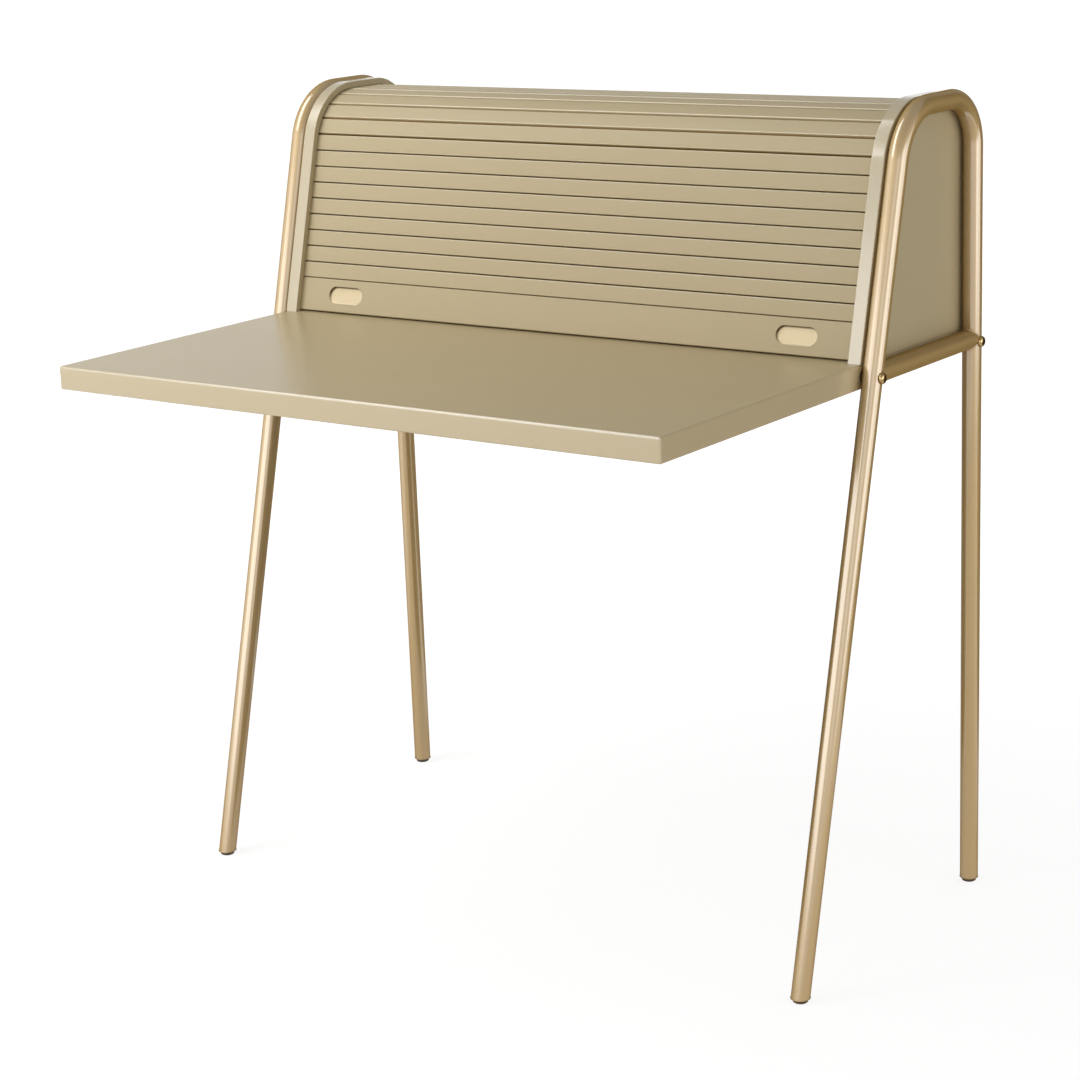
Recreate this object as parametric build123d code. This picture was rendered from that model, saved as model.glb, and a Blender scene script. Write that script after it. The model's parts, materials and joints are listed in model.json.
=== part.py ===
from build123d import *
import os
from math import cos, radians, tan

# Roll top desk: two bent tube frames carry a desk board, and a tambour cabinet stands on the board.
# Millimetres and degrees. X runs along the desk, +Y to its back, +Z up.
# The origin is on the floor, midway between the sides, the board's front and the rear legs' backs.

# Desk board
desk_height = 750.0
desk_depth = 711.0
board_width = 910.0
board_thickness = 30.0
board_corner = 5.0
board_top_round = 3.0
board_bottom_round = 1.5

# Side frames of bent round tube
overall_height = 1057.0
tube_diameter = 25.0
tube_wall = 1.5
leg_rake = 14.3
front_bend = 80.0
arch_flat = 56.0
rear_bend = 62.0
crossbar_diameter = 25.0
crossbar_rise = 3.5
weld_gap = 0.1

# Feet
foot_diameter = 19.0
foot_height = 5.0
foot_chamfer = 1.2
foot_plug_length = 18.0
foot_plug_clearance = 0.1

# Frame bolts, with a spacer between tube and board, and threaded inserts in the board's ends
bolt_diameter = 8.0
bolt_head_diameter = 14.0
bolt_head_height = 4.4
bolt_head_round = 3.6
bolt_socket = 5.0
bolt_socket_depth = 2.6
bolt_clearance = 0.2
spacer_diameter = 16.0
spacer_thickness = 1.0
insert_diameter = 12.0
insert_length = 22.0
insert_clearance = 0.1

# Side panels, whose edge stands out past the curtain's face
panel_thickness = 18.0
panel_reveal = 9.0
panel_edge_round = 1.2

# Tambour curtain: slats on a canvas back, led by a wide rail; the rail and the travel are whole pitches
slat_count = 22
rail_pitches = 2
travel_pitches = 8
slat_gap = 0.6
slat_thickness = 7.0
slat_round = 1.4
canvas_thickness = 0.8
canvas_margin = 8.0
rail_thickness = 16.0
rail_floor_gap = 2.0
rail_side_gap = 1.0
tail_stop_gap = 5.0

# Curtain grooves in the side panels
groove_depth = 6.0
groove_clearance = 0.4
slat_end_clearance = 1.0

# Finger pulls let into the rail
pull_length = 62.0
pull_height = 24.0
pull_depth = 7.0
pull_wall = 1.0
pull_floor_round = 1.6
pull_clearance = 0.1
pull_inset = 79.0

# Backs: an outer one in rebates, and an inner one that keeps the curtain's return run apart
back_thickness = 6.0
back_land = 5.0
back_fit = 0.4
back_top_gap = 4.0
inner_back_thickness = 6.0
inner_back_setback = 14.0
inner_back_drop = 8.0
dado_clearance = 0.2

# Wood screws
panel_screw_diameter = 5.0
panel_screw_head = 10.0
panel_screw_bite = 30.0
panel_screw_inset = 50.0
panel_screws_a_side = 3
back_screw_diameter = 3.0
back_screw_head = 5.5
back_screw_head_height = 1.8
back_screw_head_taper = 30.0
back_screw_bite = 14.0
back_screw_inset = 30.0
back_screws_a_side = 4
screw_clearance = 0.1

# Places that follow from the sizes
rake = radians(leg_rake)
tube_radius = tube_diameter / 2
board_end = board_width / 2
board_front_y = -desk_depth / 2
rear_leg_y = desk_depth / 2 - tube_radius
arch_z = overall_height - tube_radius
front_bend_reach = front_bend * tan(radians(90 - leg_rake) / 2)
front_foot_y = rear_leg_y - rear_bend - arch_flat - front_bend_reach - arch_z * tan(rake)
frame_x = board_end + spacer_thickness + tube_radius
bolt_z = desk_height - board_thickness / 2
crossbar_height = bolt_z + crossbar_rise
board_bottom = desk_height - board_thickness
panel_inner = board_end - panel_thickness
panel_rear_y = rear_leg_y + panel_reveal
slat_end = panel_inner + groove_depth - slat_end_clearance
rear_bend_z = arch_z - rear_bend


def front_leg_y(z, offset=0.0):
    """Y of the raked front leg's centreline at height z, moved out by offset."""
    return front_foot_y + z * tan(rake) - offset / cos(rake)


def frame_line(offset, front_z, rear_z):
    """Bent centreline of a side frame at X 0, moved out by offset, from its front end to its rear end."""
    top = arch_z + offset
    rear = rear_leg_y + offset
    corners = [
        (front_leg_y(front_z, offset), front_z),
        (front_leg_y(top, offset), top),
        (rear, top),
        (rear, rear_z),
    ]
    return Plane.YZ * FilletPolyline(*corners, radius=[front_bend + offset, rear_bend + offset])


def frame_profile(offset, bottom_z):
    """Face enclosed by the frame's centreline, moved out by offset, and a straight bottom."""
    line = frame_line(offset, bottom_z, bottom_z)
    return make_face([*line.edges(), Line(line @ 1, line @ 0)])


def slab(face, start, thickness):
    """Face at X 0 made into a slab along +X."""
    return extrude(Pos(start, 0, 0) * face, thickness, dir=(1, 0, 0))


def peg(x, y, z, direction, radius, length):
    """Round peg from a point along a direction."""
    base = Plane(origin=(x, y, z), z_dir=direction)
    return extrude(base * Circle(radius), length)


def both_sides(solids):
    """The right hand solids and their mirror images."""
    return solids + [mirror(s, about=Plane.YZ) for s in solids]


def save(name, *solids):
    """Write one named piece, or a group of like pieces, to its own file."""
    shape = solids[0] if len(solids) == 1 else Compound(children=list(solids))
    export_step(shape, f"parts/{name}.step")


def save_pair(name, solid):
    """Write a right hand piece and its left hand twin."""
    save(f"{name}_right", solid)
    save(f"{name}_left", mirror(solid, about=Plane.YZ))


# Curtain stations: the slats turn on the canvas, at their inner face
# The pitch brings the curtain's tail just short of the board when the rail is up
canvas_line = frame_line(-slat_thickness, desk_height + rail_floor_gap, desk_height)
slat_pitch = (canvas_line.length - tail_stop_gap) / (slat_count + rail_pitches + travel_pitches)
rail_length = rail_pitches * slat_pitch
travel = travel_pitches * slat_pitch


def canvas_point(station):
    """Point of the canvas line at a length along it."""
    return canvas_line.position_at(station, position_mode=PositionMode.LENGTH)


def slat_plane(start):
    """Plane of a slat's section: x along the slat's width, y out of the cabinet, origin midway."""
    low = canvas_point(start)
    high = canvas_point(start + slat_pitch)
    return Plane(origin=(low + high) / 2, x_dir=high - low, z_dir=(1, 0, 0))


def slat_start(number):
    """Station at which a slat starts when the curtain is shut, counted from 1 at the rail."""
    return (rail_pitches + number - 1) * slat_pitch


def bar(section, half_length):
    """Section at X 0 made into a bar that reaches half_length to each side."""
    return extrude(section, half_length, both=True)


def make_slat(number):
    """Slat with its rounded outer edges, and the strip of canvas glued to its back."""
    plane = slat_plane(slat_start(number))
    width = slat_pitch - slat_gap
    outline = Pos(0, slat_thickness / 2) * Rectangle(width, slat_thickness)
    outline = fillet(outline.vertices().group_by(Axis.Y)[-1], slat_round)
    strip = Pos(0, -canvas_thickness / 2) * Rectangle(width, canvas_thickness)
    return [bar(plane * outline, slat_end), bar(plane * strip, panel_inner - canvas_margin)]


# Plane of the rail's section at the canvas line's lower end, and of its outer face at mid width
rail_plane = Plane(origin=canvas_line @ 0, x_dir=canvas_line % 0, z_dir=(1, 0, 0))
rail_top = rail_length - slat_gap / 2
rail_face = Plane(
    origin=rail_plane.from_local_coords((rail_length / 2, slat_thickness)),
    x_dir=(1, 0, 0),
    z_dir=rail_plane.y_dir,
)
pull_x = panel_inner - pull_inset


def rail_section(back):
    """Rail's section from its outer face to a depth back, with its lower edge cut level with the board."""
    corners = [
        (-slat_thickness * tan(rake), slat_thickness),
        (rail_top, slat_thickness),
        (rail_top, back),
        (-back * tan(rake), back),
    ]
    outline = make_face(Polyline(*corners, close=True))
    return rail_plane * fillet(outline.vertices().group_by(Axis.Y)[-1], slat_round)


def make_rail():
    """Lead rail, with a tongue at each end for the grooves and a pocket for each pull."""
    rail = bar(rail_section(slat_thickness - rail_thickness), panel_inner - rail_side_gap)
    rail += bar(rail_section(0), slat_end)
    grow = 2 * (pull_wall + pull_clearance)
    pocket = SlotOverall(pull_length + grow, pull_height + grow)
    depth = pull_depth + pull_wall + pull_clearance
    for x in (-pull_x, pull_x):
        rail -= extrude(rail_face * Pos(x, 0) * pocket, -depth)
    return rail


def make_pull():
    """Pressed cup of a finger pull, flush with the rail's face."""
    outside = SlotOverall(pull_length + 2 * pull_wall, pull_height + 2 * pull_wall)
    cup = extrude(outside, -pull_depth - pull_wall)
    hollow = extrude(SlotOverall(pull_length, pull_height), -pull_depth)
    hollow = fillet(hollow.faces().sort_by(Axis.Z)[0].edges(), pull_floor_round)
    return rail_face * Pos(pull_x, 0) * (cup - hollow)


# Frame: tube, crossbar and feet of the right hand side
frame_axis = Pos(frame_x, 0, 0) * frame_line(0, -foot_height, 0)
bolt_places = [front_leg_y(bolt_z), rear_leg_y]


def swept(line, section):
    """Section carried along each straight and bend of a line, as one solid."""
    runs = [sweep(Plane(origin=e @ 0, z_dir=e % 0) * section, path=e) for e in line.edges()]
    return runs[0].fuse(*runs[1:])


def drilled(tube):
    """Tube with holes for the frame bolts right through it."""
    for y in bolt_places:
        tube -= peg(board_end, y, bolt_z, (1, 0, 0), bolt_diameter / 2 + bolt_clearance, 2 * tube_diameter)
    return tube


def make_frame_tube():
    """Arched tube of both legs, cut level above the feet and drilled through for its bolts."""
    tube = swept(frame_axis, Circle(tube_radius) - Circle(tube_radius - tube_wall))
    return drilled(split(tube, bisect_by=Plane.XY.offset(foot_height), keep=Keep.TOP))


def make_crossbar():
    """Tube between the legs, with its ends cut round to fit them."""
    start = front_leg_y(crossbar_height)
    base = Plane(origin=(frame_x, start, crossbar_height), z_dir=(0, 1, 0))
    radius = crossbar_diameter / 2
    crossbar = extrude(base * (Circle(radius) - Circle(radius - tube_wall)), rear_leg_y - start)
    return drilled(crossbar - swept(frame_axis, Circle(tube_radius + weld_gap)))


def make_foot(leg):
    """Glide with a plug that fits inside the end of a leg's tube."""
    centre = leg.origin
    disc = Pos(centre.X, centre.Y, foot_height / 2) * Cylinder(foot_diameter / 2, foot_height)
    disc = chamfer(disc.edges().sort_by(Axis.Z)[0], foot_chamfer)
    plug_radius = tube_radius - tube_wall - foot_plug_clearance
    plug = extrude(leg * Circle(plug_radius), foot_plug_length)
    plug += extrude(leg * Circle(plug_radius), -tube_radius)
    return disc + split(plug, bisect_by=Plane.XY.offset(foot_height), keep=Keep.TOP)


# Legs' centrelines where the tube ends
front_leg_end = Plane(origin=(frame_x, front_leg_y(foot_height), foot_height), z_dir=frame_axis % 0)
rear_leg_end = Plane(origin=(frame_x, rear_leg_y, foot_height), z_dir=(0, 0, 1))


def make_bolt(y):
    """Domed bolt with a hexagon socket, through a leg into the insert in the board's end."""
    seat = Plane(origin=(frame_x + tube_radius, y, bolt_z), z_dir=(1, 0, 0))
    head = extrude(Circle(bolt_head_diameter / 2), bolt_head_height)
    head = fillet(head.edges().sort_by(Axis.Z)[-1], bolt_head_round)
    socket = RegularPolygon(bolt_socket / 2, 6, major_radius=False)
    head -= Pos(0, 0, bolt_head_height - bolt_socket_depth) * extrude(socket, bolt_socket_depth)
    reach = tube_diameter + spacer_thickness + insert_length
    return seat * (head + extrude(Circle(bolt_diameter / 2), -reach))


def make_sleeve(x, y, outer, length):
    """Ring round a frame bolt, from x along the desk's end towards its middle."""
    base = Plane(origin=(x, y, bolt_z), z_dir=(-1, 0, 0))
    return extrude(base * (Circle(outer) - Circle(bolt_diameter / 2 + bolt_clearance / 2)), length)


# Screws from under the board into the side panels, in the solid wood beside the grooves
panel_screw_x = panel_inner + (groove_depth + panel_thickness) / 2
panel_screw_first = front_leg_y(desk_height) + panel_screw_inset
panel_screw_step = (rear_leg_y - panel_screw_inset - panel_screw_first) / (panel_screws_a_side - 1)
panel_screw_places = [panel_screw_first + i * panel_screw_step for i in range(panel_screws_a_side)]
panel_screw_cone = (panel_screw_head - panel_screw_diameter) / 2


def make_panel_screw(y, clearance=0.0):
    """Countersunk screw with its head flush under the board, or the hole for it with a clearance."""
    radius = panel_screw_diameter / 2
    low = Pos(panel_screw_x, y, board_bottom)
    cone = Pos(0, 0, panel_screw_cone / 2) * Cone(
        radius + panel_screw_cone + clearance, radius + clearance, panel_screw_cone
    )
    shank = extrude(Circle(radius + clearance), board_thickness + panel_screw_bite + clearance)
    return low * (cone + shank)


# Backs
back_rebate = groove_depth + back_land
back_front_y = panel_rear_y - back_thickness
back_top = rear_bend_z - back_top_gap
inner_back_y = rear_leg_y - slat_thickness - inner_back_setback
inner_back_top = rear_bend_z - inner_back_drop
back_screw_x = panel_inner + (groove_depth + back_rebate) / 2
back_screw_step = (back_top - desk_height - 2 * back_screw_inset) / (back_screws_a_side - 1)
back_screw_places = [
    desk_height + back_screw_inset + i * back_screw_step for i in range(back_screws_a_side)
]


def upright(x, y, width, thickness, top, bottom=desk_height):
    """Upright board that starts at x and y, from a bottom, the desk's surface, to a top."""
    return Pos(x, y, bottom) * Box(width, thickness, top - bottom, align=Align.MIN)


def make_back_screw(z, clearance=0.0):
    """Pan head screw through the back into a side panel, or the hole for it with a clearance."""
    seat = Plane(origin=(back_screw_x, panel_rear_y, z), z_dir=(0, 1, 0))
    head = extrude(Circle(back_screw_head / 2), back_screw_head_height, taper=back_screw_head_taper)
    radius = back_screw_diameter / 2 + clearance
    shank = extrude(Circle(radius), -back_thickness - back_screw_bite - clearance)
    return seat * (shank if clearance else head + shank)


# Depth by which a flat slat cuts inside the canvas line round the tighter bend
tight_bend = min(front_bend, rear_bend) - slat_thickness
canvas_line_sag = tight_bend - (tight_bend**2 - (slat_pitch / 2) ** 2) ** 0.5


def make_side_panel():
    """Arched panel with the curtain's groove, a dado for the inner back and a rebate for the outer one."""
    panel = slab(frame_profile(panel_reveal, desk_height), panel_inner, panel_thickness)
    rim = [e for e in panel.edges() if e.center().Z > desk_height and e.bounding_box().size.X < panel_edge_round]
    panel = fillet(rim, panel_edge_round)
    deepest = slat_thickness + groove_clearance + canvas_line_sag
    groove = frame_profile(groove_clearance, desk_height) - frame_profile(-deepest, desk_height)
    panel -= slab(groove, panel_inner, groove_depth)
    panel -= upright(
        panel_inner, inner_back_y - dado_clearance, groove_depth,
        inner_back_thickness + 2 * dado_clearance, inner_back_top + dado_clearance,
    )
    panel -= upright(panel_inner, back_front_y, back_rebate, back_thickness, back_top + back_fit)
    for y in panel_screw_places:
        panel -= make_panel_screw(y, screw_clearance)
    for z in back_screw_places:
        panel -= make_back_screw(z, screw_clearance)
    return panel


def make_board():
    """Desk board with eased edges, holes for the inserts in its ends and for the panel screws below."""
    depth = panel_rear_y - board_front_y
    board = Pos(-board_end, board_front_y, board_bottom) * Box(
        board_width, depth, board_thickness, align=Align.MIN
    )
    board = fillet(board.edges().filter_by(Axis.Z), board_corner)
    board = fillet(board.edges().group_by(Axis.Z)[-1], board_top_round)
    board = fillet(board.edges().group_by(Axis.Z)[0], board_bottom_round)
    holes = [
        peg(board_end, y, bolt_z, (-1, 0, 0), insert_diameter / 2 + insert_clearance, insert_length)
        for y in bolt_places
    ]
    holes += [make_panel_screw(y, screw_clearance) for y in panel_screw_places]
    for hole in both_sides(holes):
        board -= hole
    return board


def make_back():
    """Outer back in the side panels' rebates, drilled for its screws."""
    half = panel_inner + back_rebate - back_fit
    back = upright(-half, back_front_y, 2 * half, back_thickness, back_top)
    for hole in both_sides([make_back_screw(z, screw_clearance) for z in back_screw_places]):
        back -= hole
    return back


def make_inner_back():
    """Inner back in the side panels' dados, with its top edge rounded under the curtain."""
    half = panel_inner + groove_depth - dado_clearance
    inner = upright(-half, inner_back_y, 2 * half, inner_back_thickness, inner_back_top)
    top_edges = inner.edges().group_by(Axis.Z)[-1].filter_by(Axis.X)
    return fillet(top_edges, inner_back_thickness / 3)


os.makedirs("parts", exist_ok=True)

save("desk_board", make_board())
save_pair("frame_tube", make_frame_tube())
save_pair("crossbar", make_crossbar())
save_pair("foot_front", make_foot(front_leg_end))
save_pair("foot_rear", make_foot(rear_leg_end))
save_pair("side_panel", make_side_panel())
save("back_panel", make_back())
save("inner_back", make_inner_back())
save("lead_rail", make_rail())
save_pair("pull_cup", make_pull())
for number in range(1, slat_count + 1):
    save(f"slat_{number:02d}", *make_slat(number))

spacer_x = board_end + spacer_thickness
save("frame_bolts", *both_sides([make_bolt(y) for y in bolt_places]))
save("frame_spacers", *both_sides([
    make_sleeve(spacer_x, y, spacer_diameter / 2, spacer_thickness) for y in bolt_places
]))
save("threaded_inserts", *both_sides([
    make_sleeve(board_end, y, insert_diameter / 2, insert_length) for y in bolt_places
]))
save("panel_screws", *both_sides([make_panel_screw(y) for y in panel_screw_places]))
save("back_screws", *both_sides([make_back_screw(z) for z in back_screw_places]))

print(f"curtain: slat pitch {slat_pitch:.3f} mm, travel {travel:.2f} mm")
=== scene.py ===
"""Looks of the roll top desk: finishes, smooth tubes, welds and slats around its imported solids."""

import json
import logging
import math
from dataclasses import dataclass
from enum import Enum

import bmesh
import bpy
import numpy as np
from mathutils import Matrix, Vector


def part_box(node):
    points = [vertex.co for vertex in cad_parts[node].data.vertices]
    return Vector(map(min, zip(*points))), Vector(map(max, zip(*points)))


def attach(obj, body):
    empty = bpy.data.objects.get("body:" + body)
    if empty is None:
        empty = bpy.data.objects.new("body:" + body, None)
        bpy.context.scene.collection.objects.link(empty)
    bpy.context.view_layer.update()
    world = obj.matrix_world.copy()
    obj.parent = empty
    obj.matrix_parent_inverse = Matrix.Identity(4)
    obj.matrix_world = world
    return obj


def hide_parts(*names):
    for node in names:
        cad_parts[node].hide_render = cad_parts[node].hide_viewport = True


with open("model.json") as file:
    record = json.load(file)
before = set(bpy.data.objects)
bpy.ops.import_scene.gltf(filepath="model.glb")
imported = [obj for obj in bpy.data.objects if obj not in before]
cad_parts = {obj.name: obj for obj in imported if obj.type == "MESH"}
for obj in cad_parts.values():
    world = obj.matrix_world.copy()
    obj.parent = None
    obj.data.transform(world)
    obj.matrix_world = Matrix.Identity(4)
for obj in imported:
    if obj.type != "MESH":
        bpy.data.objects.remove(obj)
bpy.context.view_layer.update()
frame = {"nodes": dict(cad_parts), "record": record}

LOG = logging.getLogger("roll_top_desk")
FIXED_BODY = "desk"
MM = 0.001
NOISE_ORIGIN = (7.31, 4.17, 2.83)
WHITE = (1.0, 1.0, 1.0)

Colour = tuple[float, float, float]
Place = tuple[float, float, float]


class Side(Enum):
    """The desk's two ends, with the sign of X on each."""

    LEFT = -1
    RIGHT = 1

    def node(self, stem: str) -> str:
        """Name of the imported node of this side."""
        return f"{stem}_{self.name.lower()}"


class Leg(Enum):
    """The two legs of a side frame."""

    FRONT = "front"
    REAR = "rear"


class Edges(Enum):
    """Where a lacquered piece has its glossier edges, which are also painted paler as a highlight."""

    NONE = "none"
    BESIDE_X_FACES = "x"
    BESIDE_Z_FACES = "z"
    MARKED_POINTS = "mark"


class Effect(Enum):
    """Surface effects that more than one finish uses."""

    TONE_DRIFT = "tone_drift"
    PEEL = "peel"
    RUBBING = "rubbing"


def linear(red: int, green: int, blue: int) -> Colour:
    """Scene linear colour of a colour written in display values.

    Args:
        red: Display value from 0 to 255.
        green: Display value from 0 to 255.
        blue: Display value from 0 to 255.

    Returns:
        The three linear values.
    """
    shares = np.array([red, green, blue]) / 255.0
    bent = np.where(shares <= 0.04045, shares / 12.92, ((shares + 0.055) / 1.055) ** 2.4)
    return tuple(float(value) for value in bent)


class Graph:
    """Short calls that add nodes to a node tree and join them."""

    def __init__(self, tree: bpy.types.NodeTree) -> None:
        """Take a tree and empty it."""
        self.tree = tree
        tree.nodes.clear()

    def node(self, kind: str, settings: dict | None = None, **inputs: object) -> bpy.types.Node:
        """Add a node.

        Args:
            kind: Node type, without its ShaderNode prefix.
            settings: Properties of the node itself.
            inputs: Values or sockets for its inputs, with underscores for spaces.

        Returns:
            The new node.
        """
        made = self.tree.nodes.new(kind if kind.startswith("NodeGroup") else f"ShaderNode{kind}")
        for name, value in (settings or {}).items():
            setattr(made, name, value)
        for name, value in inputs.items():
            self.feed(made.inputs[name.replace("_", " ")], value)
        return made

    def feed(self, socket: bpy.types.NodeSocket, value: object) -> None:
        """Set an input's value, or link it if the value is a socket.

        Args:
            socket: The input.
            value: A value, or a socket to link.
        """
        if isinstance(value, bpy.types.NodeSocket):
            self.tree.links.new(value, socket)
        elif socket.type == "RGBA":
            socket.default_value = (*value, 1.0)
        else:
            socket.default_value = value

    def maths(self, operation: str, first: object, second: object = 0.0) -> bpy.types.NodeSocket:
        """Result of a Math node on two values or sockets.

        Args:
            operation: The node's operation.
            first: First value or socket.
            second: Second value or socket.

        Returns:
            The result.
        """
        made = self.node("Math", {"operation": operation})
        self.feed(made.inputs[0], first)
        self.feed(made.inputs[1], second)
        return made.outputs[0]

    def spread(self, value: object, low: float, high: float) -> bpy.types.NodeSocket:
        """A value from 0 to 1 moved to the range from low to high."""
        made = self.node("MapRange", Value=value, To_Min=low, To_Max=high)
        return made.outputs["Result"]

    def ramp(self, value: object, start: float, full: float, **settings: str) -> bpy.types.NodeSocket:
        """0 where a value is at its start and 1 where it is full, with the node's own settings."""
        made = self.node("MapRange", settings, Value=value, From_Min=start, From_Max=full)
        return made.outputs["Result"]

    def blend(self, factor: object, first: object, second: object) -> bpy.types.NodeSocket:
        """A colour that goes from the first to the second as the factor goes from 0 to 1.

        A Mix node's sockets for colours are its inputs 6 and 7 and its output 2.

        Args:
            factor: Share of the second colour.
            first: First colour or socket.
            second: Second colour or socket.

        Returns:
            The mixed colour.
        """
        made = self.node("Mix", {"data_type": "RGBA"}, Factor=factor)
        self.feed(made.inputs[6], first)
        self.feed(made.inputs[7], second)
        return made.outputs[2]

    def weighted(self, first: object, second: object, share: float) -> bpy.types.NodeSocket:
        """Sum of two values, where the second one has the given share and the first one the rest."""
        rest = self.maths("MULTIPLY", first, 1 - share)
        return self.maths("ADD", rest, self.maths("MULTIPLY", second, share))

    def swing(self, value: object, amount: object) -> bpy.types.NodeSocket:
        """A value from 0 to 1 moved to swing about 0, times an amount."""
        return self.maths("MULTIPLY", self.maths("SUBTRACT", value, 0.5), amount)

    def noise(self, where: object, scale: object, detail: float = 2.0) -> bpy.types.NodeSocket:
        """Value of a noise texture at a place, with the texture's own origin well off the desk.

        Args:
            where: Coordinates.
            scale: Scale of the noise.
            detail: Steps of finer noise in it.

        Returns:
            The value, from 0 to 1.
        """
        moved = self.node("Mapping", Vector=where, Location=NOISE_ORIGIN)
        made = self.node("TexNoise", Vector=moved.outputs[0], Scale=scale, Detail=detail)
        return made.outputs[0]

    def stretched(self, where: object, scale: Place) -> bpy.types.NodeSocket:
        """Coordinates scaled along each axis."""
        return self.node("Mapping", Vector=where, Scale=scale).outputs[0]


def new_material(name: str) -> tuple[bpy.types.Material, Graph]:
    """A new material and its empty graph.

    Args:
        name: Its name.

    Returns:
        The material and its graph.
    """
    material = bpy.data.materials.new(name)
    material.use_nodes = True
    return material, Graph(material.node_tree)


def new_object(name: str, data: bpy.types.ID) -> bpy.types.Object:
    """A new object with the given data, in the scene.

    Args:
        name: Its name.
        data: Its mesh, lamp or lens.

    Returns:
        The new object.
    """
    made = bpy.data.objects.new(name, data)
    bpy.context.scene.collection.objects.link(made)
    return made


class Effects:
    """Shader node groups of the shared effects, each built once."""

    # Finer clouds in the tone, longer wave in the ripple, and how the smears run along X
    CLOUD_SCALE = 9.0
    CLOUD_SHARE = 0.3
    WAVE_SCALE = 0.18
    WAVE_SHARE = 0.4
    SMEAR_STRETCH = (0.35, 1.0, 1.0)

    def __init__(self) -> None:
        """Build every group."""
        self.groups = {
            Effect.TONE_DRIFT: self.tone_drift(),
            Effect.PEEL: self.peel(),
            Effect.RUBBING: self.rubbing(),
        }

    @staticmethod
    def start(
        effect: Effect, inputs: dict[str, str], output: tuple[str, str]
    ) -> tuple[Graph, bpy.types.Node]:
        """Begin a group.

        Args:
            effect: The effect that names the group.
            inputs: Socket type of each named input.
            output: Name and socket type of the output.

        Returns:
            The group's graph and its input node.
        """
        group = bpy.data.node_groups.new(effect.value, "ShaderNodeTree")
        for name, kind in inputs.items():
            group.interface.new_socket(name=name, in_out="INPUT", socket_type=kind)
        group.interface.new_socket(name=output[0], in_out="OUTPUT", socket_type=output[1])
        graph = Graph(group)
        return graph, graph.node("NodeGroupInput")

    def tone_drift(self) -> bpy.types.NodeTree:
        """A colour that drifts slowly lighter and darker over the surface, with finer clouds in it.

        Returns:
            The group.
        """
        sockets = {"Colour": "NodeSocketColor", "Scale": "NodeSocketFloat", "Amount": "NodeSocketFloat"}
        graph, given = self.start(Effect.TONE_DRIFT, sockets, ("Colour", "NodeSocketColor"))
        where = graph.node("TexCoord").outputs["Object"]
        broad = graph.noise(where, given.outputs["Scale"])
        fine_scale = graph.maths("MULTIPLY", given.outputs["Scale"], self.CLOUD_SCALE)
        clouds = graph.weighted(broad, graph.noise(where, fine_scale, 4.0), self.CLOUD_SHARE)
        value = graph.maths("ADD", graph.swing(clouds, given.outputs["Amount"]), 1.0)
        tinted = graph.node("HueSaturation", Color=given.outputs["Colour"], Value=value)
        graph.node("NodeGroupOutput", Colour=tinted.outputs[0])
        return graph.tree

    def peel(self) -> bpy.types.NodeTree:
        """Height of the fine ripple of sprayed lacquer: small soft cells over a longer wave.

        Returns:
            The group.
        """
        sockets = {"Scale": "NodeSocketFloat"}
        graph, given = self.start(Effect.PEEL, sockets, ("Height", "NodeSocketFloat"))
        where = graph.node("TexCoord").outputs["Object"]
        cells = graph.noise(where, given.outputs["Scale"], 1.0)
        wave_scale = graph.maths("MULTIPLY", given.outputs["Scale"], self.WAVE_SCALE)
        height = graph.weighted(cells, graph.noise(where, wave_scale, 1.0), self.WAVE_SHARE)
        graph.node("NodeGroupOutput", Height=height)
        return graph.tree

    def rubbing(self) -> bpy.types.NodeTree:
        """Roughness that varies where hands and cloths have passed, in smears along the desk.

        Returns:
            The group.
        """
        sockets = dict.fromkeys(("Roughness", "Amount", "Scale"), "NodeSocketFloat")
        graph, given = self.start(Effect.RUBBING, sockets, ("Roughness", "NodeSocketFloat"))
        where = graph.stretched(graph.node("TexCoord").outputs["Object"], self.SMEAR_STRETCH)
        smears = graph.swing(graph.noise(where, given.outputs["Scale"], 5.0), given.outputs["Amount"])
        graph.node("NodeGroupOutput", Roughness=graph.maths("ADD", smears, given.outputs["Roughness"]))
        return graph.tree


class Finish:
    """Base of the finishes: a material with a Principled shader and the shared effects."""

    name: str
    colour: Colour
    roughness: float

    def build(self, effects: Effects) -> bpy.types.Material:
        """Make the material.

        Args:
            effects: The shared effects' groups.

        Returns:
            The new material.
        """
        material, graph = new_material(self.name)
        shader = graph.node("BsdfPrincipled")
        graph.node("OutputMaterial", Surface=shader.outputs[0])
        self.dress(graph, shader, effects)
        return material

    def dress(self, graph: Graph, shader: bpy.types.Node, effects: Effects) -> None:
        """Feed the shader; each finish has its own way."""
        raise NotImplementedError

    @staticmethod
    def effect(graph: Graph, effects: Effects, effect: Effect, **inputs: object) -> bpy.types.NodeSocket:
        """Output of an effect's group, placed in a material with its own values."""
        placed = graph.node("Group", {"node_tree": effects.groups[effect]}, **inputs)
        return placed.outputs[0]

    def tone_and_sheen(
        self, graph: Graph, effects: Effects, drift: tuple[float, float], rubbed: tuple[float, float]
    ) -> tuple[bpy.types.NodeSocket, bpy.types.NodeSocket]:
        """The finish's colour with drifting tone, and its roughness with rubbed smears.

        Args:
            graph: The material's graph.
            effects: The shared effects' groups.
            drift: Scale and amount of the tone's drift.
            rubbed: Scale and amount of the smears.

        Returns:
            The colour and the roughness.
        """
        values = {"Scale": drift[0], "Amount": drift[1]}
        tone = self.effect(graph, effects, Effect.TONE_DRIFT, Colour=self.colour, **values)
        values = {"Scale": rubbed[0], "Amount": rubbed[1]}
        sheen = self.effect(graph, effects, Effect.RUBBING, Roughness=self.roughness, **values)
        return tone, sheen

    @staticmethod
    def bump(graph: Graph, shader: bpy.types.Node, height: object, depth: float) -> None:
        """Feed the shader's normal from a height of 0 to 1 that is depth metres deep."""
        raised = graph.node("Bump", Height=height, Distance=depth, Strength=1.0)
        graph.feed(shader.inputs["Normal"], raised.outputs[0])


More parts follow.
